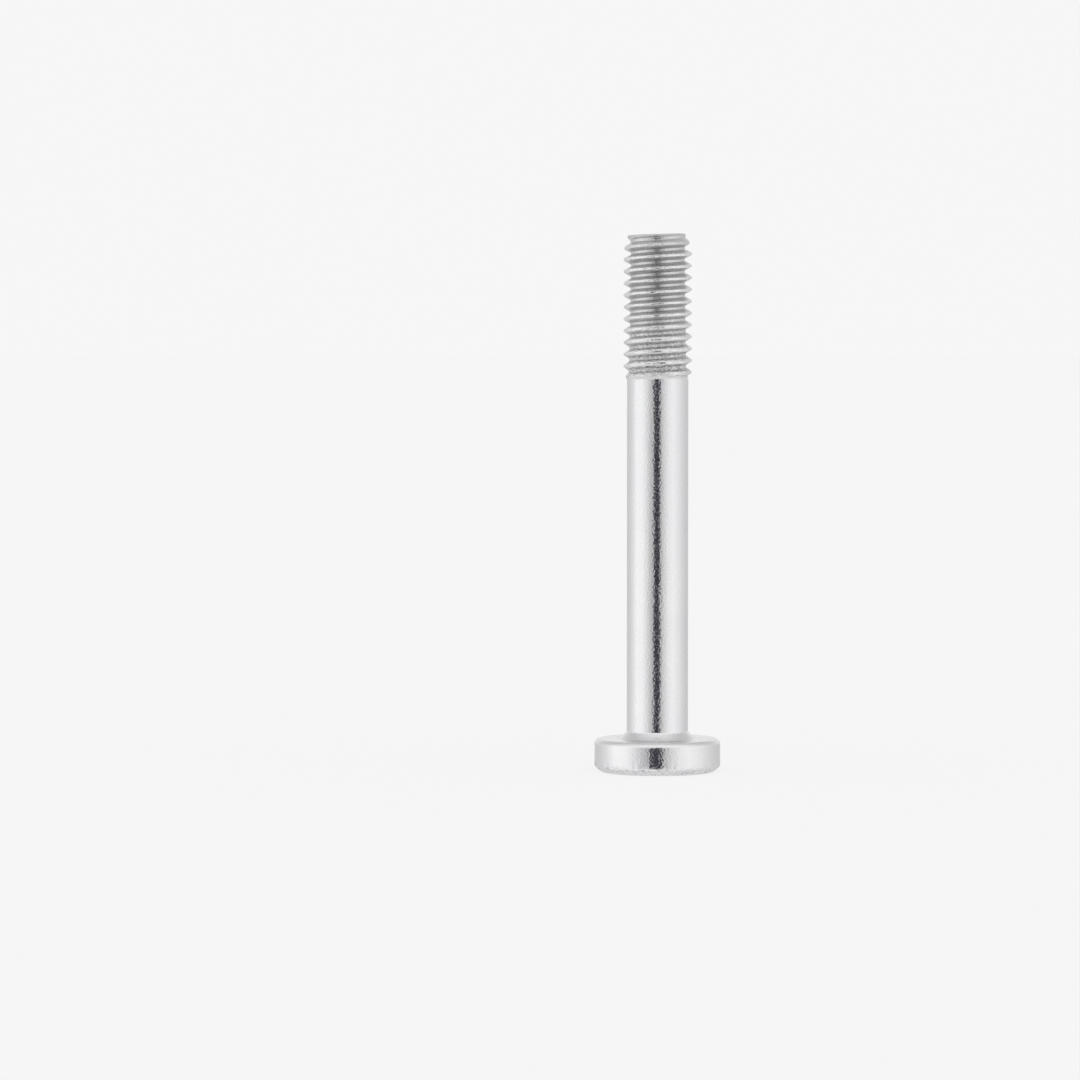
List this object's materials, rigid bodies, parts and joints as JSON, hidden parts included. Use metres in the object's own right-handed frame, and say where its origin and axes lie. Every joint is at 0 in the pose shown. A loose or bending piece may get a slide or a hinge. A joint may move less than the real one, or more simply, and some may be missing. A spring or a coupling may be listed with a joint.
{
  "type": "flat head socket bolt",
  "caption": "Flat-headed steel bolt with a hex socket, a long plain shank and a short rolled metric thread, for clamping parts together with a hex key.",
  "frame": {"origin": "centre of the head's outer face, which the bolt stands on", "axes": "+Z along the bolt's centre line, from the head to the tip of the thread; +X through a corner of the hex socket"},
  "size_m": [0.0107, 0.0106, 0.0456],
  "materials": {
    "zinc_plate": "satin-bright zinc plate on steel"
  },
  "bodies": {
    "root": {"bolt": "zinc_plate"}
  },
  "joints": []
}
